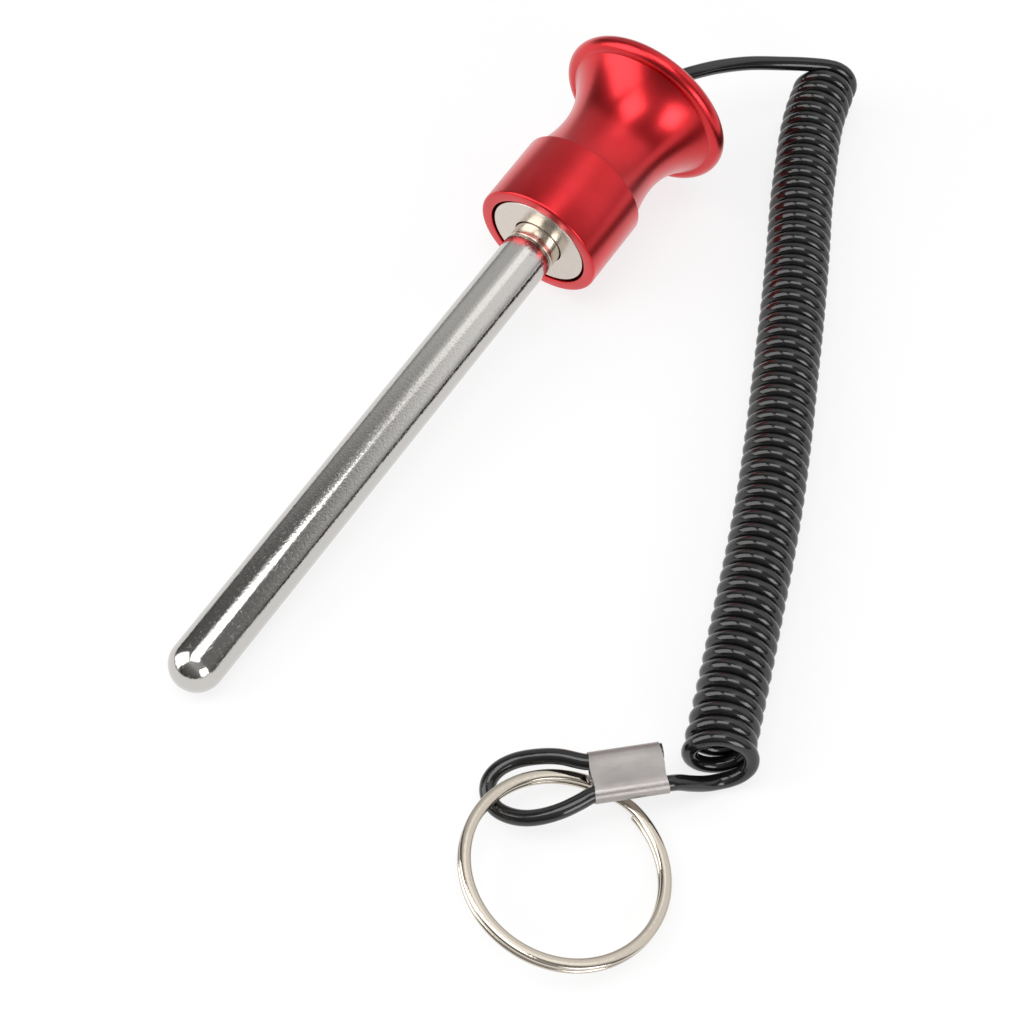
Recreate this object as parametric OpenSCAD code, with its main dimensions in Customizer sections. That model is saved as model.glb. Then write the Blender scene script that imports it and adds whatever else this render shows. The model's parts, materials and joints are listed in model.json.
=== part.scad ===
// Weight stack pin with a magnetic knob, a curly cord and a split ring, lying as it comes to rest.
// All sizes are in millimetres.

/* [Shaft] */
// Diameter of the steel shaft
shaft_d = 10; // [8:0.5:12]
// Length of the shaft from the end of its nose to its shoulder
shaft_l = 106.6; // [80:0.2:140]
// Chamfer at the shoulder of the shaft
shaft_chamfer = 0.5; // [0.2:0.1:1]
// Diameter of the stud that screws into the knob
stud_d = 6; // [5:0.5:7]
// Length of the stud inside the knob
stud_grip = 12; // [8:0.5:16]

/* [Shoulder bush] */
// Outer diameter of the bush between the shaft and the knob
bush_d = 9.9; // [9:0.1:11]
// How far the bush stands out of the front of the knob
bush_proud = 2.6; // [1:0.1:6]
// Chamfer at the front edge of the bush
bush_chamfer = 0.2; // [0.1:0.1:0.6]

/* [Magnet] */
// Outer diameter of the ring magnet
magnet_d = 20; // [17:0.5:21]
// Thickness of the ring magnet
magnet_t = 5; // [3:0.5:7]
// How far the magnet sits below the front of the knob
magnet_set = 0.2; // [0:0.1:1]
// Chamfer at the edges of the magnet
magnet_chamfer = 0.2; // [0.1:0.1:0.5]
// Gap between the magnet and the wall of its recess
magnet_gap = 0.5; // [0.2:0.1:0.8]
// Gap between the bush and the hole in the magnet
bush_gap = 0.2; // [0.1:0.05:0.5]

/* [Knob] */
// Wall of the plain collar round the magnet's recess
collar_wall = 2.3; // [1.5:0.1:3.5]
// Length of the collar
collar_l = 15.5; // [12:0.5:19]
// Rounding of the front edge of the collar
collar_round = 0.5; // [0.2:0.1:0.8]
// Height of the step behind the collar
collar_step = 0.6; // [0.2:0.1:1.5]
// How far the waist narrows behind that step
waist_depth = 1.6; // [0.6:0.1:3]
// Distance from the front of the knob to the smallest waist
waist_at = 24; // [22:0.1:28]
// How far the flare rises from the waist to the crease at the rim
flare = 4.8; // [3:0.1:6]
// How far the crease lies inside the middle of the rolled rim
crease_in = 0.45; // [0.2:0.05:1]
// Radius of the rolled rim
rim_round = 1.8; // [1.4:0.1:2.4]
// Length of the knob from its front to the back of its rim
knob_l = 39.4; // [38:0.1:48]
// Depth of the dished back of the knob
dish = 1.2; // [0.5:0.1:3]

/* [Cord] */
// Diameter of the cord
cord_d = 2.8; // [2.4:0.1:3]
// Outer diameter of the curled stretch
coil_d = 12.4; // [11:0.1:13]
// Outer diameter of the stop that is pressed on the cord inside the knob
stop_d = 5.6; // [4.4:0.1:6]
// Length of the stop
stop_l = 7; // [5:0.5:8]

/* [Crimped sleeve] */
// Length of the flat sleeve that closes the cord's loop
sleeve_l = 12.3; // [9:0.1:14]
// Distance between the two stretches of cord in the sleeve
sleeve_lanes = 6; // [5.6:0.1:6.4]
// Wall of the sleeve
sleeve_wall = 0.4; // [0.3:0.1:0.6]
// Height of the flattened space between the two lanes
sleeve_pinch = 1.6; // [0.8:0.1:2.2]
// Width of the seam under the sleeve
sleeve_seam = 0.4; // [0.2:0.1:0.8]

/* [Split ring] */
// Outer diameter of the split ring
ring_d = 35.8; // [34:0.1:36]
// Width of the ring's wire across the ring
wire_w = 2; // [1.4:0.1:2.4]
// Thickness of the wire in each of the two turns
wire_t = 1.13; // [0.8:0.01:1.3]
// Gap between the two turns
wire_gap = 0.1; // [0.05:0.01:0.2]
// Angle over which the wire steps from the lower turn to the upper one
step_angle = 29; // [20:1:40]

/* [Hidden] */
$fn = 96;

// Clearances between pieces that fit in each other
thread_gap = 0.05;
cord_gap = 0.05;
turn_gap = 0.04;
cord_sides = 8;
coil_sides = 24;

// Stations along the axis of the pin, from the centre of the round nose
shaft_r = shaft_d / 2;
shoulder_a = shaft_l - shaft_r;
face_a = shoulder_a + bush_proud;
floor_a = face_a + magnet_set + magnet_t;
step_a = face_a + collar_l;
waist_a = face_a + waist_at;
back_a = face_a + knob_l;
bead_a = back_a - rim_round;
dish_a = back_a - dish;
stud_end_a = floor_a + stud_grip;
bore_end_a = stud_end_a + stop_l + 1;
stud_bore_r = stud_d / 2 + thread_gap;

// Radii of the knob, each taken from the one before
recess_r = magnet_d / 2 + magnet_gap;
collar_r = recess_r + collar_wall;
waist_start_r = collar_r - collar_step;
waist_r = waist_start_r - waist_depth;
crease_r = waist_r + flare;
bead_r = crease_r + crease_in;

cord_r = cord_d / 2;
cord_hole_r = cord_r + cord_gap;

// The pin lies on its nose and on its rim, so its axis rises by this angle
lie = atan2(bead_r, bead_a)
    + asin((rim_round - shaft_r) / norm([bead_a, bead_r]));
// The frame stands at the middle of the pin's length on the table
x_low = -shaft_r;
x_high = bead_a * cos(lie) + bead_r * sin(lie) + rim_round;
middle_x = (x_low + x_high) / 2;

// A point on the pin's axis, in the frame
function on_axis(a) = [a * cos(lie) - middle_x, 0, shaft_r + a * sin(lie)];

module along_pin() {
    translate(on_axis(0)) rotate([0, 90 - lie, 0]) children();
}

// The radius of an arc that rises by rise over run, from a level start
function arc_r(run, rise) = (run * run + rise * rise) / (2 * rise);
// The height of that arc at a distance x from its level start
function arc_at(x, run, rise) =
    let(r = arc_r(run, rise)) r - sqrt(r * r - x * x);
// Points [radius, station] of a circular corner between two angles
function round_corner(r, a, size, from, to, steps) =
    [for (i = [0:steps]) let(q = from + (to - from) * i / steps)
        [r + size * cos(q), a + size * sin(q)]];

// The crease lies on the circle of the rolled rim
crease_q = -acos(-crease_in / rim_round);
crease_a = bead_a + rim_round * sin(crease_q);

function waist_side(steps) =
    [for (i = [0:steps]) let(a = step_a + (waist_a - step_a) * i / steps)
        [waist_r + arc_at(waist_a - a, waist_a - step_a, waist_depth), a]];
function flare_side(steps) =
    [for (i = [1:steps]) let(a = waist_a + (crease_a - waist_a) * i / steps)
        [waist_r + arc_at(a - waist_a, crease_a - waist_a, flare), a]];

// The outline of the knob from the front of its recess round the outside to its cord hole
function knob_outline() = concat(
    [[stud_bore_r, floor_a], [recess_r, floor_a], [recess_r, face_a]],
    round_corner(collar_r - collar_round, face_a + collar_round, collar_round, -90, 0, 6),
    [[collar_r, step_a]],
    waist_side(10),
    flare_side(16),
    round_corner(bead_r, bead_a, rim_round, crease_q, 90, 22),
    [for (i = [1:8]) let(r = bead_r + (cord_hole_r - bead_r) * i / 8)
        [r, back_a - dish * (1 - pow(r / bead_r, 2))]],
    [[cord_hole_r, bore_end_a], [stud_bore_r, bore_end_a]]);

module knob() {
    color([0.78, 0.09, 0.14])
    along_pin() rotate_extrude() polygon(knob_outline());
}

module pin_shaft() {
    color([0.8, 0.8, 0.8])
    along_pin() {
        sphere(r = shaft_r);
        cylinder(r = shaft_r, h = shoulder_a - shaft_chamfer);
        translate([0, 0, shoulder_a - shaft_chamfer])
            cylinder(r1 = shaft_r, r2 = shaft_r - shaft_chamfer, h = shaft_chamfer);
        cylinder(d = stud_d, h = stud_end_a);
    }
}

module shoulder_bush() {
    color([0.84, 0.8, 0.74])
    along_pin() rotate_extrude() polygon([
        [stud_bore_r, shoulder_a],
        [bush_d / 2 - bush_chamfer, shoulder_a],
        [bush_d / 2, shoulder_a + bush_chamfer],
        [bush_d / 2, floor_a],
        [stud_bore_r, floor_a]]);
}

module ring_magnet() {
    color([0.84, 0.8, 0.76])
    along_pin() rotate_extrude() polygon([
        [bush_d / 2 + bush_gap, floor_a - magnet_t],
        [magnet_d / 2 - magnet_chamfer, floor_a - magnet_t],
        [magnet_d / 2, floor_a - magnet_t + magnet_chamfer],
        [magnet_d / 2, floor_a - magnet_chamfer],
        [magnet_d / 2 - magnet_chamfer, floor_a],
        [bush_d / 2 + bush_gap, floor_a]]);
}

// The stop is pressed on the cord and bears on the end of the stud's bore
module cord_stop() {
    color([0.7, 0.68, 0.66])
    along_pin() translate([0, 0, bore_end_a - stop_l]) difference() {
        cylinder(d = stop_d, h = stop_l);
        translate([0, 0, -1]) cylinder(r = cord_hole_r, h = stop_l + 2);
    }
}

// Sweeping a closed section along a route
function unit(v) = v / norm(v);
function level(v, t) = unit(v - (v * t) * t);
function directions(route) =
    [for (i = [0:len(route) - 1])
        unit(route[min(i + 1, len(route) - 1)] - route[max(i - 1, 0)])];
// One side vector for each point, carried along so that the tube doesn't twist
function side_vectors(ways, first) =
    [for (i = 0, s = level(first, ways[0]); i < len(ways);
          i = i + 1, s = i < len(ways) ? level(s, ways[i]) : s) s];
// A closed skin over rings of m points each
module skin(points, m) {
    last = len(points) / m - 1;
    walls = [for (i = [0:last - 1]) for (k = [0:m - 1])
             [i * m + k, (i + 1) * m + k, (i + 1) * m + (k + 1) % m, i * m + (k + 1) % m]];
    ends = [[for (k = [0:m - 1]) k], [for (k = [m - 1:-1:0]) last * m + k]];
    polyhedron(points, concat(walls, ends));
}
module sweep(route, section, first) {
    ways = directions(route);
    side = side_vectors(ways, first);
    skin([for (i = [0:len(route) - 1]) let(up = cross(ways[i], side[i]))
          for (p = section) route[i] + p[0] * side[i] + p[1] * up], len(section));
}
function round_section(r, sides) =
    [for (k = [0:sides - 1]) r * [cos(k * 360 / sides), sin(k * 360 / sides)]];

// The curled stretch lies on the table along this line, from the knob's end to the ring's end
coil_route = [[107.5, -21.5], [98.5, -24], [92, -26.5], [85.5, -29.5], [77, -33.5],
              [65.5, -39.5], [52.5, -46], [40, -52], [27.5, -58], [15.5, -63.5],
              [3.5, -68.5], [-8, -73], [-19.5, -77.5], [-34, -83]];
coil_line = [for (p = coil_route) [p[0], p[1], coil_d / 2]];
coil_first = coil_line[0];
coil_last = coil_line[len(coil_line) - 1];
coil_way = unit(coil_line[1] - coil_first);
coil_end_way = unit(coil_last - coil_line[len(coil_line) - 2]);
coil_side = cross(coil_way, [0, 0, 1]);
curl_r = (coil_d - cord_d) / 2;
beside_turn = cord_r + turn_gap;
// The lead slants over the coil's end, so the fat tube starts a whole turn behind it
behind_lead = cord_d + 0.2;

// The lead leaves the knob along its axis, crosses over to the coil and lays the first half turn
lead_route = concat(
    [for (a = [bore_end_a - stop_l, dish_a, dish_a + 5]) on_axis(a)],
    [[82, -1.4, 18], [86, -3.2, 17.3], [90.9, -5.6, 15.9], [96.4, -9.2, 14.2],
     [101.5, -14, 12.6], [104.9, -18, 11.8]],
    [for (q = [0:30:150]) coil_first - coil_side * curl_r * sin(q) + [0, 0, curl_r * cos(q)]]);

// The tail leaves the coil at its side, bends up to the sleeve, makes the loop and comes back
tail_to_sleeve = [[-32.1, -88, 6.4], [-32, -88.3, 4.8], [-32.3, -88.1, 3.3],
                  [-33.4, -87.2, 2.1], [-34.9, -85.9, 1.5], [-36.6, -84.4, 1.6],
                  [-38.4, -82.8, 2.5], [-40.1, -81.4, 3.9], [-41.8, -80.1, 5.5]];
loop_route = [[-54.5, -68.9, 6.6], [-57.2, -67.3, 6.2], [-59.6, -65.2, 5.6], [-61.4, -62.8, 5],
              [-62.4, -60.1, 4.5], [-62.5, -57.4, 4.3], [-61.3, -55.1, 4.3],
              [-59.2, -53.8, 4.5], [-56.6, -54, 5], [-53.9, -55.6, 5.5],
              [-51.5, -58.4, 6.2], [-49.6, -61.6, 6.7]];

sleeve_at = [-45.7, -72.5, 6.8];
sleeve_turn = -46;
// A point in the sleeve, along it and across it
function in_sleeve(along, across) = sleeve_at
    + along * [cos(sleeve_turn), sin(sleeve_turn), 0]
    + across * [sin(sleeve_turn), -cos(sleeve_turn), 0];
tail_route = concat(
    tail_to_sleeve,
    [for (s = [0.5, 0, -0.5]) in_sleeve(s * sleeve_l, sleeve_lanes / 2)],
    loop_route,
    [for (s = [-0.5, 0, 0.5]) in_sleeve(s * sleeve_l, -sleeve_lanes / 2)]);

module cord_tube(route, first) {
    color([0.08, 0.08, 0.08]) sweep(route, round_section(cord_r, cord_sides), first);
}

module cord_lead() {
    cord_tube(lead_route, [0, 1, 0]);
}

module cord_coil() {
    inner = [for (i = [1:len(coil_line) - 2]) coil_line[i]];
    color([0.08, 0.08, 0.08])
    sweep(concat([coil_first + behind_lead * coil_way], inner,
                 [coil_last - beside_turn * coil_end_way]),
          round_section(coil_d / 2, coil_sides), [0, 0, 1]);
}

module cord_tail() {
    cord_tube(tail_route, [1, 0, 0]);
}

// A folded metal sleeve, pressed flat round both stretches of cord, with its seam below
module crimp_sleeve() {
    lane_r = cord_hole_r;
    outer_r = lane_r + sleeve_wall;
    color([0.68, 0.65, 0.63])
    translate(sleeve_at) rotate([90, 0, 90 + sleeve_turn])
    translate([0, 0, -sleeve_l / 2]) linear_extrude(sleeve_l) difference() {
        union() {
            for (s = [-1, 1]) translate([s * sleeve_lanes / 2, 0]) circle(r = outer_r);
            square([sleeve_lanes, 2 * outer_r], center = true);
        }
        for (s = [-1, 1]) translate([s * sleeve_lanes / 2, 0]) circle(r = lane_r);
        square([sleeve_lanes, sleeve_pinch], center = true);
        translate([-sleeve_seam / 2, -outer_r - 1]) square([sleeve_seam, outer_r + 1]);
    }
}

// The split ring leans on the loop of cord, with its low side on the table
ring_xy = [-65.3, -73.2];
ring_lean = 13.6;
ring_lean_to = -42.9;
step_from = -15;
wire_corner = 0.35;
layer = (wire_t + wire_gap) / 2;
ring_half = layer + wire_t / 2;
ring_z = (ring_d / 2 - wire_corner) * sin(ring_lean) + ring_half * cos(ring_lean);
wire_section = let(w = wire_w / 2, t = wire_t / 2, c = wire_corner)
    [[w, -t + c], [w, t - c], [w - c, t], [c - w, t], [-w, t - c], [-w, c - t], [c - w, -t],
     [w - c, -t]];
ring_steps = 55;
step_steps = 8;
end_gap = 0.5;

// The wire runs one turn low, steps up, and runs one turn high, against the clock
function smooth_step(x) = x * x * (3 - 2 * x);
ring_turns = concat(
    [for (i = [0:ring_steps - 1]) [(360 - step_angle) * i / ring_steps, -layer]],
    [for (i = [0:step_steps]) [360 - step_angle + step_angle * i / step_steps,
                               layer * (2 * smooth_step(i / step_steps) - 1)]],
    [for (i = [1:ring_steps]) [360 + (360 - step_angle - end_gap) * i / ring_steps, layer]]);

module split_ring() {
    start = step_from - ring_lean_to - step_angle - end_gap / 2;
    color([0.82, 0.77, 0.7])
    translate([ring_xy[0], ring_xy[1], ring_z])
    rotate([0, ring_lean, ring_lean_to])
    skin([for (s = ring_turns) for (p = wire_section)
          let(r = ring_d / 2 - wire_w / 2 + p[0], q = start - s[0])
          [r * cos(q), r * sin(q), s[1] + p[1]]], len(wire_section));
}

knob();
pin_shaft();
shoulder_bush();
ring_magnet();
cord_stop();
cord_lead();
cord_coil();
cord_tail();
crimp_sleeve();
split_ring();
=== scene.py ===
"""The looks of a weight stack pin: turned metal, a curly cord, a crimped sleeve and a split ring."""
import json
from math import acos, asin, atan2, cos, exp, pi, radians, sin, sqrt, tan

import bmesh
import bpy
from mathutils import Matrix, Vector


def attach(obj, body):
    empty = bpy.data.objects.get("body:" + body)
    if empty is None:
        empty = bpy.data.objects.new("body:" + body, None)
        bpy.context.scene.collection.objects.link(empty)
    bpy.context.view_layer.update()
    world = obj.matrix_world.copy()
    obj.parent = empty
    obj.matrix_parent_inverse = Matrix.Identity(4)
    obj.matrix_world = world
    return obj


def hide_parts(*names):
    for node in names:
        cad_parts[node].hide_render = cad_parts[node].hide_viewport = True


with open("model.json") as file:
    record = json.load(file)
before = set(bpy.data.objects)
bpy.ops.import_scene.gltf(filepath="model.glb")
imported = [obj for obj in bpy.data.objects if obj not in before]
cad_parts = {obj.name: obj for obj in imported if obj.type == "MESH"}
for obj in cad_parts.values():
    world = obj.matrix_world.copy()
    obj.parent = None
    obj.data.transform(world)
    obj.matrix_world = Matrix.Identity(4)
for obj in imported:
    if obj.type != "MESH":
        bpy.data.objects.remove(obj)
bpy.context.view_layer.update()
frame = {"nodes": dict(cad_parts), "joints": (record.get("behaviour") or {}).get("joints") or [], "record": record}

# Sizes are in millimetres up to the last placing of each piece, which brings them to metres.
MM = 0.001
TO_METRES = Matrix.Scale(MM, 4)

# The pin's own frame: the origin is the centre of the round nose and +Z runs to the knob.
shaft_mount = next(m for m in frame["record"]["mounts"] if m["name"] == "shaft")
NOSE_WAY = Vector(shaft_mount["axis"]).normalized()
SHAFT_R = shaft_mount["dims"]["r_mm"]
SHAFT_PLAIN = shaft_mount["dims"]["length_mm"]
NOSE_CENTRE = Vector(shaft_mount["pos_m"]) / MM + NOSE_WAY * (SHAFT_PLAIN / 2)
LIE = asin(-NOSE_WAY.z)
PIN = Matrix.Translation(NOSE_CENTRE) @ Matrix.Rotation(pi / 2 - LIE, 4, "Y")

# The split ring's own frame, from its joint.
ring_joint = next(j for j in frame["joints"] if j["name"] == "ring_turn")
RING_WAY = Vector(ring_joint["axis"]).normalized()
RING_CENTRE = Vector(ring_joint["pos_m"]) / MM
RING_LEAN = acos(RING_WAY.z)
RING_LEAN_TO = atan2(RING_WAY.y, RING_WAY.x)
RING = (Matrix.Translation(RING_CENTRE) @ Matrix.Rotation(RING_LEAN_TO, 4, "Z")
        @ Matrix.Rotation(RING_LEAN, 4, "Y"))

# Shaft and bush
SHOULDER_CHAMFER = 0.5
SHOULDER = SHAFT_PLAIN + SHOULDER_CHAMFER
STUD_R = 3.0
THREAD_GAP = 0.05
STUD_BORE_R = STUD_R + THREAD_GAP
STUD_GRIP = 12.0
BUSH_R = 4.95
BUSH_PROUD = 2.6

# Knob and magnet
FACE = SHOULDER + BUSH_PROUD
COLLAR_L = 15.5
MAGNET_R = 10.0
MAGNET_T = 5.0
MAGNET_SET = 0.2
MAGNET_GAP = 0.5
MAGNET_HOLE_GAP = 0.2
MAGNET_HOLE_R = BUSH_R + MAGNET_HOLE_GAP
RECESS_FLOOR = FACE + MAGNET_SET + MAGNET_T
RECESS_R = MAGNET_R + MAGNET_GAP
COLLAR_WALL = 2.3
COLLAR_R = RECESS_R + COLLAR_WALL
COLLAR_STEP = 0.6
STEP = FACE + COLLAR_L
WAIST_START_R = COLLAR_R - COLLAR_STEP
WAIST_DEPTH = 1.6
WAIST_R = WAIST_START_R - WAIST_DEPTH
WAIST_AT = 24
WAIST = FACE + WAIST_AT
FLARE = 4.8
CREASE_R = WAIST_R + FLARE
CREASE_IN = 0.45
RIM_ROUND = 1.8
KNOB_L = 39.4
BACK = FACE + KNOB_L
DISH = 1.2
STOP_ROOM = 8.0
BORE_END = RECESS_FLOOR + STUD_GRIP + STOP_ROOM
STOP_L = 7.0

# Cord
CORD_R = 1.4
CORD_GAP = 0.05
# How far the cord runs straight on out of the knob.
CORD_OUT = 5
COIL_R = 6.2
CURL_R = COIL_R - CORD_R
TURNS = 55
# The first turns lie wider apart than the rest, by this much in all.
LOOSE_START = 1.1
LOOSE_TURNS = 4
# The turns at both ends lean: a shift along the coil that follows the way round (plain, side, height).
LEAN_TURNS = 4
FIRST_LEAN = (0.25, -1.25, -0.25)
LAST_LEAN = (0.5, -1.17, -0.92)
COIL_ROUTE = [(107.5, -21.5), (98.5, -24), (92, -26.5), (85.5, -29.5), (77, -33.5), (65.5, -39.5),
              (52.5, -46), (40, -52), (27.5, -58), (15.5, -63.5), (3.5, -68.5), (-8, -73),
              (-19.5, -77.5), (-34, -83)]
LEAD_ROUTE = [(82, -1.4, 18), (86, -3.2, 17.3), (90.9, -5.6, 15.9), (96.4, -9.2, 14.2),
              (101.5, -14, 12.6), (104.9, -18, 11.8)]
TAIL_TO_SLEEVE = [(-31.5, -86.9, 8.5), (-31.5, -88, 6.3), (-32.2, -88.2, 4.4), (-33.4, -87.5, 2.9),
                  (-34.7, -86.3, 2), (-36, -85, 1.7), (-37.4, -83.9, 2.1), (-38.9, -82.8, 3.1),
                  (-40.5, -81.6, 4.6), (-42, -80.3, 6)]
LOOP_ROUTE = [(-54.5, -68.9, 6.6), (-57.2, -67.3, 6.2), (-59.6, -65.2, 5.6), (-61.4, -62.8, 5),
              (-62.4, -60.1, 4.5), (-62.5, -57.4, 4.3), (-61.3, -55.1, 4.3), (-59.2, -53.8, 4.5),
              (-56.6, -54, 5), (-53.9, -55.6, 5.5), (-51.5, -58.4, 6.2), (-49.6, -61.6, 6.7)]

# Crimped sleeve
SLEEVE_AT = Vector((-45.7, -72.5, 6.8))
SLEEVE_TURN = radians(-46)
SLEEVE_L = 12.3
SLEEVE_LANE = 3.0
SLEEVE_WALL = 0.4
SLEEVE_SEAM = 0.2
SLEEVE_PRESS = 0.12
SLEEVE_END_WAVE = 0.12
SLEEVE = Matrix.Translation(SLEEVE_AT) @ Matrix.Rotation(SLEEVE_TURN, 4, "Z")

# Split ring
RING_R = 17.9
WIRE_W = 2.0
WIRE_T = 1.13
WIRE_GAP = 0.1
# The ring is turned a little about its joint, so that its step lies where the photo shows it.
STEP_FROM = radians(17)
STEP_ANGLE = radians(29)
TURN_PARTS = 240
END_GAP = radians(0.5)
WIRE_END_ROUND = 0.3
# The wire's section is an ellipse at 1 and squarer below it.
WIRE_POWER = 0.78


# The camera stands where the photo was taken from.
CAMERA_TARGET = Vector((-10.8, -25.2, 0))
CAMERA_AZIMUTH = radians(-55.96)
CAMERA_ELEVATION = radians(57.65)
CAMERA_ROLL = radians(0.58)
CAMERA_DISTANCE = 409.5
CAMERA_LENS = 79.1
CAMERA_SENSOR = 36


def make_camera():
    data = bpy.data.cameras.new("camera")
    data.lens = CAMERA_LENS
    data.sensor_width = CAMERA_SENSOR
    camera = bpy.data.objects.new("camera", data)
    bpy.context.scene.collection.objects.link(camera)
    turn = (Matrix.Rotation(CAMERA_AZIMUTH, 4, "Z")
            @ Matrix.Rotation(pi / 2 - CAMERA_ELEVATION, 4, "X")
            @ Matrix.Rotation(CAMERA_ROLL, 4, "Z"))
    back = turn.to_3x3() @ Vector((0, 0, 1))
    camera.matrix_world = Matrix.Translation((CAMERA_TARGET + back * CAMERA_DISTANCE) * MM) @ turn
    bpy.context.scene.camera = camera
    bpy.context.scene.view_settings.view_transform = "Standard"


# Making meshes

def finished(bm, name, place, sharp=radians(28)):
    """Puts a mesh made in millimetres in its place in the row frame, smooth between sharp edges."""
    bmesh.ops.transform(bm, matrix=TO_METRES @ place, verts=bm.verts)
    for face in bm.faces:
        face.smooth = True
    for edge in bm.edges:
        edge.smooth = len(edge.link_faces) == 2 and edge.calc_face_angle(0) < sharp
    mesh = bpy.data.meshes.new(name)
    bm.to_mesh(mesh)
    bm.free()
    piece = bpy.data.objects.new(name, mesh)
    bpy.context.scene.collection.objects.link(piece)
    return piece


def filleted(corners, steps=5):
    """An outline of (radius, station) points from corners (radius, station, rounding)."""
    line = []
    for i, (r, a, size) in enumerate(corners):
        here = Vector((r, a))
        if size <= 0:
            line.append(here)
            continue
        before = (Vector(corners[i - 1][:2]) - here).normalized()
        after = (Vector(corners[(i + 1) % len(corners)][:2]) - here).normalized()
        half = before.angle(after) / 2
        middle = here + (before + after).normalized() * size / sin(half)
        start = here + before * size / tan(half) - middle
        sweep = start.angle_signed(here + after * size / tan(half) - middle)
        for k in range(steps + 1):
            q = -sweep * k / steps
            line.append(middle + Vector((start.x * cos(q) - start.y * sin(q),
                                         start.x * sin(q) + start.y * cos(q))))
    return line


def turned(name, outline, closed=True, steps=144, place=PIN):
    """A turned piece: the outline spun once round the pin's axis."""
    bm = bmesh.new()
    verts = [bm.verts.new((r, 0, a)) for r, a in outline]
    edges = [bm.edges.new(pair) for pair in zip(verts, verts[1:])]
    if closed:
        edges.append(bm.edges.new((verts[-1], verts[0])))
    bmesh.ops.spin(bm, geom=verts + edges, cent=(0, 0, 0), axis=(0, 0, 1), angle=2 * pi,
                   steps=steps, use_merge=True, use_duplicate=False)
    bmesh.ops.remove_doubles(bm, verts=bm.verts, dist=0.0005)
    bmesh.ops.recalc_face_normals(bm, faces=bm.faces)
    return finished(bm, name, place)


def arc_height(x, run, rise):
    """The height, at x, of an arc that starts level and rises by rise over run."""
    r = (run * run + rise * rise) / (2 * rise)
    return r - sqrt(r * r - x * x)


# Turned pieces

def make_shaft():
    nose_steps = 28
    nose = [(SHAFT_R * sin(pi / 2 * i / nose_steps), -SHAFT_R * cos(pi / 2 * i / nose_steps), 0)
            for i in range(nose_steps + 1)]
    back = [(SHAFT_R, SHAFT_PLAIN, 0.12), (SHAFT_R - SHOULDER_CHAMFER, SHOULDER, 0.08),
            (STUD_R, SHOULDER, 0), (STUD_R, RECESS_FLOOR + STUD_GRIP, 0.5),
            (0, RECESS_FLOOR + STUD_GRIP, 0)]
    return turned("shaft", filleted(nose + back), closed=False)


def make_bush():
    return turned("bush", filleted([(STUD_BORE_R, SHOULDER, 0), (BUSH_R, SHOULDER, 0.18),
                                    (BUSH_R, RECESS_FLOOR, 0), (STUD_BORE_R, RECESS_FLOOR, 0)]))


def make_magnet():
    front = RECESS_FLOOR - MAGNET_T
    return turned("magnet", filleted([(MAGNET_HOLE_R, front, 0.15), (MAGNET_R, front, 0.22),
                                      (MAGNET_R, RECESS_FLOOR, 0.2),
                                      (MAGNET_HOLE_R, RECESS_FLOOR, 0.1)]))


def steps_to(start, end, steps):
    """Evenly spaced values after start, up to end itself."""
    return [start + (end - start) * i / steps for i in range(1, steps + 1)]


def knob_outline():
    bead = BACK - RIM_ROUND
    bead_r = CREASE_R + CREASE_IN
    crease_turn = -acos(-CREASE_IN / RIM_ROUND)
    crease = bead + RIM_ROUND * sin(crease_turn)
    hole_r = CORD_R + CORD_GAP
    corners = [(STUD_BORE_R, RECESS_FLOOR, 0.2), (RECESS_R, RECESS_FLOOR, 0.1),
               (RECESS_R, FACE, 0.15), (COLLAR_R, FACE, 0.5), (COLLAR_R, STEP, 0.15),
               (WAIST_START_R, STEP, 0.1)]
    for a in steps_to(STEP, WAIST, 30):
        rise = arc_height(WAIST - a, WAIST - STEP, WAIST_START_R - WAIST_R)
        corners.append((WAIST_R + rise, a, 0))
    for a in steps_to(WAIST, crease, 36):
        rise = arc_height(a - WAIST, crease - WAIST, CREASE_R - WAIST_R)
        corners.append((WAIST_R + rise, a, 0))
    for q in steps_to(crease_turn, pi / 2, 64):
        corners.append((bead_r + RIM_ROUND * cos(q), bead + RIM_ROUND * sin(q), 0))
    for r in steps_to(bead_r, hole_r + 0.5, 24)[:-1]:
        corners.append((r, BACK - DISH * (1 - (r / bead_r) ** 2), 0))
    corners += [(hole_r, BACK - DISH, 0.4), (hole_r, BORE_END, 0), (STUD_BORE_R, BORE_END, 0)]
    return filleted(corners)


def make_knob():
    return turned("knob_body", knob_outline(), steps=192)


# Cord

def smooth_line(points, per=8):
    """A curve through all the points, with per points for each stretch."""
    line = []
    last = len(points) - 1
    for i in range(last):
        p0, p1, p2, p3 = (points[max(i - 1, 0)], points[i], points[i + 1], points[min(i + 2, last)])
        for k in range(per):
            t = k / per
            line.append(0.5 * (2 * p1 + (p2 - p0) * t + (2 * p0 - 5 * p1 + 4 * p2 - p3) * t * t
                               + (3 * p1 - p0 - 3 * p2 + p3) * t ** 3))
    line.append(points[-1])
    return line


def along(line):
    """The distance of each point from the start of the line."""
    far = [0.0]
    for a, b in zip(line, line[1:]):
        far.append(far[-1] + (b - a).length)
    return far


def leaning(lean, turns_away, q):
    """How far a point of an end turn is shifted along the coil; it fades over a few turns."""
    plain, side, height = lean
    return max(0, 1 - turns_away / LEAN_TURNS) * (plain + side * sin(q) + height * cos(q))


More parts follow.
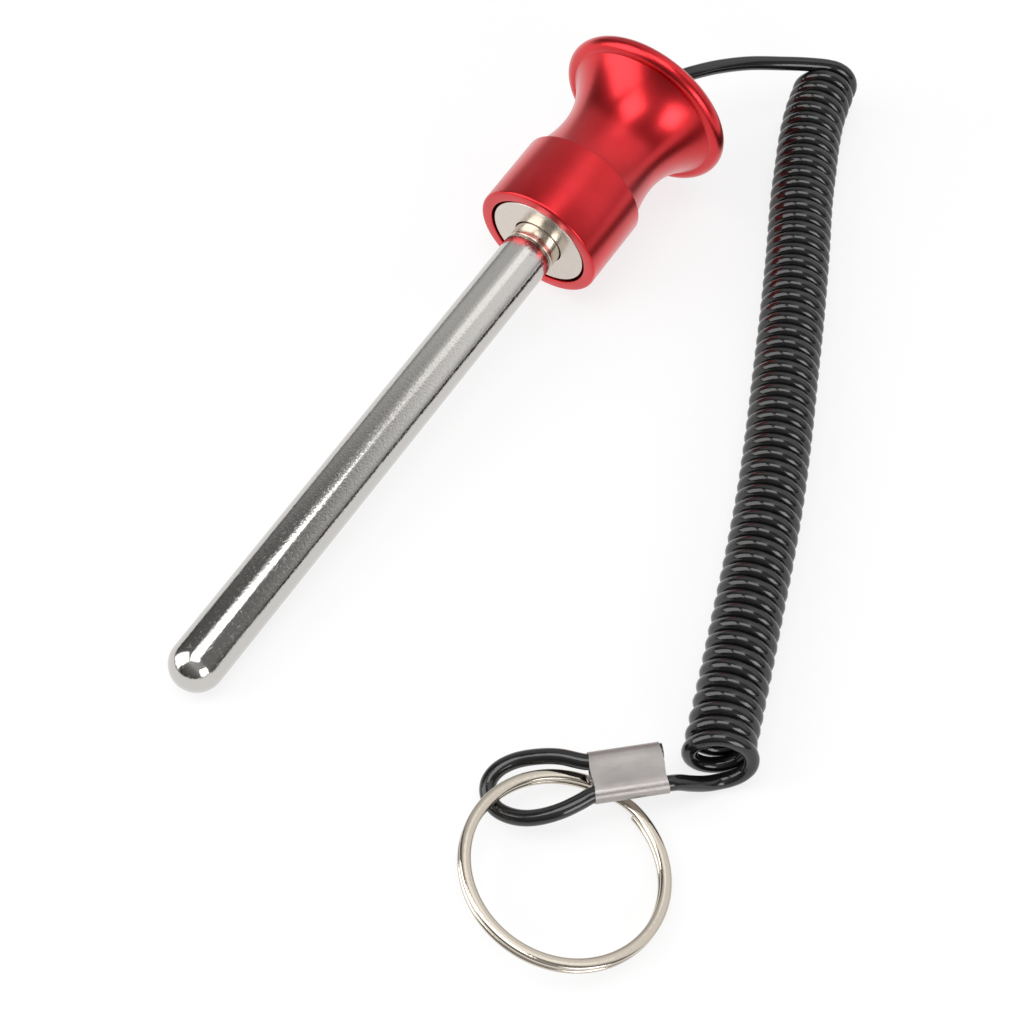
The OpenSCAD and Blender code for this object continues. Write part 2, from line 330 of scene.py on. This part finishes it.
def helix_line(steps=32, last_part=0.12):
    """The curled stretch: whole turns and part of a last one, wound on the route of the coil."""
    axis = smooth_line([Vector((x, y, COIL_R)) for x, y in COIL_ROUTE], 24)
    far = along(axis)
    turns = TURNS + last_part
    count = int(steps * turns)
    line = []
    at = 0
    for i in range(count + 1):
        turn = i / steps
        q = 2 * pi * turn
        s = (far[-1] - LOOSE_START) * i / count + LOOSE_START * (1 - exp(-turn / LOOSE_TURNS))
        s += leaning(FIRST_LEAN, turn, q) + leaning(LAST_LEAN, turns - turn, q)
        while at < len(far) - 2 and far[at + 1] < s:
            at += 1
        while at > 0 and far[at] > s:
            at -= 1
        way = (axis[at + 1] - axis[at]).normalized()
        centre = axis[at] + way * (s - far[at])
        side = way.cross(Vector((0, 0, 1)))
        line.append(centre - side * CURL_R * sin(q) + Vector((0, 0, CURL_R * cos(q))))
    return line


def in_sleeve(part, across):
    """A point in the sleeve, by its share of the length from the middle and its distance across."""
    return SLEEVE @ Vector((part * SLEEVE_L, -across, 0))


def cord_line(per=8):
    """The whole cord: from its stop in the knob, by the helix and the loop, back into the sleeve."""
    inside = [PIN @ Vector((0, 0, a)) for a in (BORE_END - STOP_L, BORE_END, BACK - DISH,
                                                BACK - DISH + CORD_OUT)]
    helix = helix_line()
    lead = smooth_line(inside + [Vector(p) for p in LEAD_ROUTE] + [helix[0], helix[3]], per)
    ends = [in_sleeve(part, SLEEVE_LANE) for part in (0.5, 0.2, -0.2, -0.5)]
    # The cord's end stands a little out of the sleeve.
    back = [in_sleeve(part, -SLEEVE_LANE) for part in (-0.5, -0.2, 0.2, 0.53)]
    tail = smooth_line([helix[-4], helix[-1]] + [Vector(p) for p in TAIL_TO_SLEEVE] + ends
                       + [Vector(p) for p in LOOP_ROUTE] + back, per)
    # The lead's last stretch and the tail's first lie on the helix and only set the way it is met.
    return lead[:-per - 1] + helix[:-1] + tail[per:]


def make_cord():
    line = cord_line()
    data = bpy.data.curves.new("cord", "CURVE")
    data.dimensions = "3D"
    data.bevel_depth = CORD_R * MM
    data.bevel_resolution = 6
    data.use_fill_caps = True
    spline = data.splines.new("POLY")
    spline.points.add(len(line) - 1)
    for point, p in zip(spline.points, line):
        point.co = (*(p * MM), 1)
    spline.use_smooth = True
    cord = bpy.data.objects.new("cord", data)
    bpy.context.scene.collection.objects.link(cord)
    return cord, along(line)[-1] * MM


# Crimped sleeve

def make_sleeve(length_steps=16):
    """A strip folded round both lanes, pressed flat, with its seam below."""
    mid_r = CORD_R + CORD_GAP + SLEEVE_WALL / 2
    outline = [(-SLEEVE_SEAM, -mid_r), (-SLEEVE_LANE * 0.5, -mid_r)]
    outline += [(-SLEEVE_LANE + mid_r * cos(q), mid_r * sin(q))
                for q in (radians(-90 - 15 * i) for i in range(13))]
    outline += [(SLEEVE_LANE * x, mid_r) for x in (-0.66, -0.33, 0, 0.33, 0.66)]
    outline += [(SLEEVE_LANE + mid_r * cos(q), mid_r * sin(q))
                for q in (radians(90 - 15 * i) for i in range(13))]
    outline += [(SLEEVE_LANE * 0.5, -mid_r), (SLEEVE_SEAM, -mid_r)]
    bm = bmesh.new()
    verts = [bm.verts.new((-SLEEVE_L / 2, y, z)) for y, z in outline]
    edges = [bm.edges.new(pair) for pair in zip(verts, verts[1:])]
    for _ in range(length_steps):
        made = bmesh.ops.extrude_edge_only(bm, edges=edges)["geom"]
        verts = [v for v in made if isinstance(v, bmesh.types.BMVert)]
        edges = [e for e in made
                 if isinstance(e, bmesh.types.BMEdge) and all(v in verts for v in e.verts)]
        bmesh.ops.translate(bm, verts=verts, vec=(SLEEVE_L / length_steps, 0, 0))
    for v in bm.verts:
        x, y, z = v.co
        part = 2 * x / SLEEVE_L
        press = SLEEVE_PRESS * (1 - part ** 4) * max(0, 1 - (y / SLEEVE_LANE) ** 2)
        wave = SLEEVE_END_WAVE * sin(y * 1.1 + 0.6) * part ** 3 * abs(part) ** 3
        v.co = (x + wave, y, z - press * (1 if z > 0 else -1))
    bmesh.ops.recalc_face_normals(bm, faces=bm.faces)
    bmesh.ops.solidify(bm, geom=bm.faces, thickness=SLEEVE_WALL)
    return finished(bm, "sleeve", SLEEVE)


# Split ring

def wire_section(bm, layer):
    """The wire's rounded section, standing at the start of its first turn."""
    made = bmesh.ops.create_circle(bm, cap_ends=False, radius=1, segments=28)["verts"]
    for v in made:
        x, y = v.co.x, v.co.y
        v.co = (RING_R - WIRE_W / 2 + WIRE_W / 2 * abs(x) ** WIRE_POWER * (1 if x > 0 else -1), 0,
                layer + WIRE_T / 2 * abs(y) ** WIRE_POWER * (1 if y > 0 else -1))
    return made + list({e for v in made for e in v.link_edges})


def make_ring():
    layer = (WIRE_T + WIRE_GAP) / 2
    turn = 2 * pi - STEP_ANGLE
    bm = bmesh.new()
    geom = wire_section(bm, -layer)
    stretches = [(turn - END_GAP / 2, 0.0, TURN_PARTS)]
    step_parts = 16
    for i in range(step_parts):
        a, b = i / step_parts, (i + 1) / step_parts
        rise = 2 * layer * (b * b * (3 - 2 * b) - a * a * (3 - 2 * a))
        stretches.append((STEP_ANGLE / step_parts, rise, 1))
    stretches.append((turn - END_GAP / 2, 0.0, TURN_PARTS))
    for angle, rise, steps in stretches:
        geom = bmesh.ops.spin(bm, geom=geom, cent=(0, 0, 0), axis=(0, 0, -1), dvec=(0, 0, rise / steps),
                              angle=angle, steps=steps, use_merge=False,
                              use_duplicate=False)["geom_last"]
    open_edges = [e for e in bm.edges if len(e.link_faces) == 1]
    bmesh.ops.holes_fill(bm, edges=open_edges)
    bmesh.ops.bevel(bm, geom=open_edges, offset=WIRE_END_ROUND, offset_type="OFFSET",
                    affect="EDGES", segments=4, profile=0.5, material=-1)
    bmesh.ops.recalc_face_normals(bm, faces=bm.faces)
    start = STEP_FROM - RING_LEAN_TO - STEP_ANGLE - END_GAP / 2
    return finished(bm, "ring", RING @ Matrix.Rotation(start, 4, "Z"), sharp=radians(50))


# Materials

class Paint:
    """A material with a Principled shader, and short ways to feed it."""

    def __init__(self, name):
        self.material = bpy.data.materials.new(name)
        self.material.use_nodes = True
        self.nodes = self.material.node_tree.nodes
        self.links = self.material.node_tree.links
        self.shader = self.nodes["Principled BSDF"]
        self.place = self.nodes.new("ShaderNodeTexCoord").outputs["Object"]

    def set(self, **values):
        for name, value in values.items():
            self.shader.inputs[name.replace("_", " ")].default_value = value

    def mapped(self, matrix=Matrix(), stretch=(1, 1, 1)):
        """Coordinates in millimetres in the frame of a matrix, divided by stretch."""
        inverse = matrix.inverted()
        node = self.nodes.new("ShaderNodeMapping")
        node.inputs["Location"].default_value = inverse.to_translation()
        node.inputs["Rotation"].default_value = inverse.to_euler()
        node.inputs["Scale"].default_value = (1 / MM,) * 3
        self.links.new(self.place, node.inputs["Vector"])
        if tuple(stretch) == (1, 1, 1):
            return node.outputs["Vector"]
        squeeze = self.nodes.new("ShaderNodeMapping")
        squeeze.inputs["Scale"].default_value = [1 / s for s in stretch]
        self.links.new(node.outputs["Vector"], squeeze.inputs["Vector"])
        return squeeze.outputs["Vector"]

    def noise(self, where, scale, detail=3, rough=0.55):
        node = self.nodes.new("ShaderNodeTexNoise")
        node.inputs["Scale"].default_value = scale
        node.inputs["Detail"].default_value = detail
        node.inputs["Roughness"].default_value = rough
        self.links.new(where, node.inputs["Vector"])
        return node.outputs["Fac"]

    def ranged(self, value, low, high, to_low, to_high):
        node = self.nodes.new("ShaderNodeMapRange")
        node.inputs["From Min"].default_value = low
        node.inputs["From Max"].default_value = high
        node.inputs["To Min"].default_value = to_low
        node.inputs["To Max"].default_value = to_high
        self.links.new(value, node.inputs["Value"])
        return node.outputs["Result"]

    def mixed(self, fac, first, second):
        node = self.nodes.new("ShaderNodeMix")
        node.data_type = "RGBA"
        node.inputs[6].default_value = (*first, 1)
        node.inputs[7].default_value = (*second, 1)
        self.links.new(fac, node.inputs[0])
        return node.outputs[2]

    def sum_of(self, first, *others):
        for other in others:
            node = self.nodes.new("ShaderNodeMath")
            self.links.new(first, node.inputs[0])
            self.links.new(other, node.inputs[1])
            first = node.outputs[0]
        return first

    def feed(self, socket, value):
        self.links.new(value, self.shader.inputs[socket])

    def bump(self, height, depth_mm, before=None):
        node = self.nodes.new("ShaderNodeBump")
        node.inputs["Distance"].default_value = depth_mm * MM
        node.inputs["Strength"].default_value = 1.0
        self.links.new(height, node.inputs["Height"])
        if before is not None:
            self.links.new(before, node.inputs["Normal"])
        self.feed("Normal", node.outputs["Normal"])
        return node.outputs["Normal"]


def anodised_red():
    paint = Paint("anodised_red")
    paint.set(Metallic=1.0, Coat_Weight=0.55, Coat_Roughness=0.25, Coat_IOR=1.5)
    grain = paint.noise(paint.mapped(PIN), 9.0, detail=4)
    cloud = paint.noise(paint.mapped(PIN), 0.12, detail=3)
    paint.feed("Base Color", paint.mixed(paint.ranged(cloud, 0.35, 0.65, 0, 1),
                                         (0.62, 0.010, 0.016), (0.70, 0.015, 0.023)))
    paint.feed("Roughness", paint.ranged(grain, 0.3, 0.7, 0.26, 0.35))
    lathe = paint.noise(paint.mapped(PIN, (60, 60, 0.16)), 1.0, detail=2)
    fine = paint.bump(grain, 0.004)
    paint.bump(lathe, 0.003, before=fine)
    return paint.material


def chrome(name, colour, rough_low, rough_high, pits=0.006, peel=0.02):
    paint = Paint(name)
    paint.set(Metallic=1.0, Base_Color=(*colour, 1))
    smear = paint.noise(paint.mapped(PIN, (1, 1, 14)), 0.5, detail=4)
    paint.feed("Roughness", paint.ranged(smear, 0.3, 0.75, rough_low, rough_high))
    uneven = paint.bump(paint.noise(paint.mapped(PIN, (1, 1, 1.3)), 2.6, detail=2), peel)
    speck = paint.noise(paint.mapped(PIN, (1, 1, 1.6)), 2.6, detail=5, rough=0.7)
    paint.bump(paint.ranged(speck, 0.6, 0.7, 1, 0), pits, before=uneven)
    return paint.material


def nickel_face():
    paint = Paint("nickel_face")
    paint.set(Metallic=1.0, Base_Color=(0.68, 0.62, 0.56, 1))
    cloud = paint.noise(paint.mapped(PIN), 0.45, detail=4)
    paint.feed("Roughness", paint.ranged(cloud, 0.3, 0.7, 0.2, 0.3))
    paint.bump(paint.noise(paint.mapped(PIN), 3.0, detail=4), 0.004)
    return paint.material


def satin_steel():
    paint = Paint("satin_steel")
    paint.set(Metallic=1.0)
    brushed = paint.noise(paint.mapped(SLEEVE, (6, 1, 1)), 4.0, detail=5, rough=0.6)
    cloud = paint.noise(paint.mapped(SLEEVE), 0.35, detail=3)
    paint.feed("Base Color", paint.mixed(cloud, (0.36, 0.335, 0.325), (0.45, 0.42, 0.405)))
    paint.feed("Roughness", paint.ranged(cloud, 0.3, 0.7, 0.34, 0.46))
    coarse = paint.bump(cloud, 0.05)
    paint.bump(brushed, 0.008, before=coarse)
    return paint.material


def ring_wire():
    paint = Paint("ring_wire")
    paint.set(Metallic=1.0, Base_Color=(0.60, 0.54, 0.46, 1))
    cloud = paint.noise(paint.mapped(RING), 0.6, detail=4)
    paint.feed("Roughness", paint.ranged(cloud, 0.3, 0.7, 0.06, 0.14))
    paint.bump(paint.noise(paint.mapped(RING), 0.9, detail=3), 0.02)
    return paint.material


def black_cord():
    paint = Paint("black_cord")
    paint.set(IOR=1.58)
    cloud = paint.noise(paint.mapped(), 0.18, detail=3)
    paint.feed("Base Color", paint.mixed(cloud, (0.006, 0.006, 0.006), (0.011, 0.010, 0.010)))
    scuff = paint.noise(paint.mapped(), 1.4, detail=4, rough=0.65)
    paint.feed("Roughness", paint.ranged(scuff, 0.3, 0.7, 0.09, 0.16))
    paint.bump(paint.noise(paint.mapped(), 0.7, detail=3), 0.02)
    return paint.material


def pale_floor():
    """White in the picture and in reflections, with part of the shadow kept."""
    paint = Paint("pale_floor")
    paint.set(Roughness=0.9, Specular_IOR_Level=0.1)
    cloud = paint.noise(paint.mapped(), 0.004, detail=2)
    paint.feed("Base Color", paint.mixed(cloud, (0.93, 0.93, 0.93), (0.96, 0.96, 0.96)))
    rays = paint.nodes.new("ShaderNodeLightPath").outputs
    seen = paint.sum_of(rays["Is Camera Ray"], rays["Is Glossy Ray"], rays["Is Transmission Ray"])
    glow = paint.nodes.new("ShaderNodeEmission")
    glow.inputs["Color"].default_value = (1, 1, 1, 1)
    mix = paint.nodes.new("ShaderNodeMixShader")
    paint.links.new(paint.ranged(seen, 0, 1, 0, FLOOR_GLOW), mix.inputs[0])
    paint.links.new(paint.shader.outputs[0], mix.inputs[1])
    paint.links.new(glow.outputs[0], mix.inputs[2])
    paint.links.new(mix.outputs[0], paint.nodes["Material Output"].inputs["Surface"])
    return paint.material


# Studio

# How much of the floor's white is its own, so that its shadows stay faint.
FLOOR_GLOW = 0.78
FLOOR_DROP = 0.02
LAMP_AWAY = 0.9
# Each panel: the way to it from the object, its width, height and brightness.
LAMPS = {
    "left_of_camera": ((-0.50, 0.65, 0.57), 0.68, 1.0, 2.7),
    "overhead": ((-0.10, -0.04, 0.99), 0.55, 0.5, 3.2),
    "right_of_camera": ((-0.38, -0.86, 0.32), 0.42, 0.42, 4.2),
    "behind": ((0.42, -0.15, 0.9), 0.35, 0.3, 0.4),
}


def make_floor(material, half=1500):
    bm = bmesh.new()
    bmesh.ops.create_grid(bm, x_segments=1, y_segments=1, size=half)
    floor = finished(bm, "floor", Matrix.Translation((0, 0, -FLOOR_DROP)))
    floor.data.materials.append(material)


def make_lamp(name, way, width, height, level):
    data = bpy.data.lights.new(name, "AREA")
    data.shape = "RECTANGLE"
    data.size = width
    data.size_y = height
    data.energy = level * pi * width * height
    lamp = bpy.data.objects.new(name, data)
    way = Vector(way).normalized()
    lamp.location = way * LAMP_AWAY
    lamp.rotation_euler = (-way).to_track_quat("-Z", "Y").to_euler()
    bpy.context.scene.collection.objects.link(lamp)


def make_world():
    """A room, white to the eye: bright beyond the object, dim to the left and behind the camera."""
    world = bpy.data.worlds.new("studio")
    world.use_nodes = True
    bpy.context.scene.world = world
    nodes, links = world.node_tree.nodes, world.node_tree.links
    split = nodes.new("ShaderNodeSeparateXYZ")
    links.new(nodes.new("ShaderNodeTexCoord").outputs["Generated"], split.inputs[0])

    def ramp(value, low, high, shades):
        scale = nodes.new("ShaderNodeMapRange")
        scale.inputs["From Min"].default_value = low
        scale.inputs["From Max"].default_value = high
        links.new(value, scale.inputs["Value"])
        node = nodes.new("ShaderNodeValToRGB")
        links.new(scale.outputs["Result"], node.inputs["Fac"])
        elements = node.color_ramp.elements
        while len(elements) < len(shades):
            elements.new(0.5)
        for element, (position, level) in zip(elements, shades):
            element.position = position
            element.color = (level, level, level, 1)
        return node.outputs["Color"]

    def product(first, second):
        node = nodes.new("ShaderNodeMix")
        node.data_type = "RGBA"
        node.blend_type = "MULTIPLY"
        node.inputs[0].default_value = 1
        links.new(first, node.inputs[6])
        links.new(second, node.inputs[7])
        return node.outputs[2]

    depth = ramp(split.outputs["X"], -1, 1,
                 [(0.02, 0.12), (0.12, 0.2), (0.25, 0.45), (0.4, 0.4), (0.55, 0.2), (0.61, 0.2),
                  (0.64, 0.45), (0.67, 0.7), (0.7, 1.0), (1.0, 0.9)])
    across = ramp(split.outputs["Y"], -1, 1,
                  [(0.0, 0.95), (0.5, 1.0), (0.6, 0.8), (0.68, 0.6), (1.0, 0.58)])
    height = ramp(split.outputs["Z"], -0.2, 1,
                  [(0.0, 0.5), (0.17, 0.35), (0.3, 0.75), (0.5, 1.0), (1.0, 1.0)])
    room = product(product(depth, across), height)
    seen = nodes.new("ShaderNodeMix")
    seen.data_type = "RGBA"
    seen.inputs[7].default_value = (0.96, 0.96, 0.96, 1)
    links.new(nodes.new("ShaderNodeLightPath").outputs["Is Camera Ray"], seen.inputs[0])
    links.new(room, seen.inputs[6])
    links.new(seen.outputs[2], nodes["Background"].inputs["Color"])
    nodes["Background"].inputs["Strength"].default_value = 1.05


def make_studio():
    make_world()
    for name, panel in LAMPS.items():
        make_lamp(name, *panel)
    make_floor(pale_floor())


def dress(piece, body, node, material):
    piece.data.materials.append(material)
    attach(piece, body)
    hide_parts(*([node] if isinstance(node, str) else node))


def keep_node(node, material):
    """Gives a CAD node that stays a better material."""
    for slot in frame["nodes"][node].material_slots:
        slot.material = material


make_camera()
cord, cord_length = make_cord()
dress(cord, "pin", ["cord_lead", "cord_coil", "cord_tail"], black_cord())
dress(make_knob(), "pin", "knob", anodised_red())
dress(make_shaft(), "pin", "pin_shaft",
      chrome("polished_steel", (0.575, 0.558, 0.535), 0.07, 0.13))
dress(make_bush(), "pin", "shoulder_bush",
      chrome("nickel_plate", (0.66, 0.61, 0.53), 0.12, 0.18, pits=0.003, peel=0.003))
dress(make_magnet(), "pin", "ring_magnet", nickel_face())
sleeve = make_sleeve()
steel = satin_steel()
dress(sleeve, "pin", "crimp_sleeve", steel)
ring = make_ring()
dress(ring, "ring", "split_ring", ring_wire())
keep_node("cord_stop", steel)
make_studio()
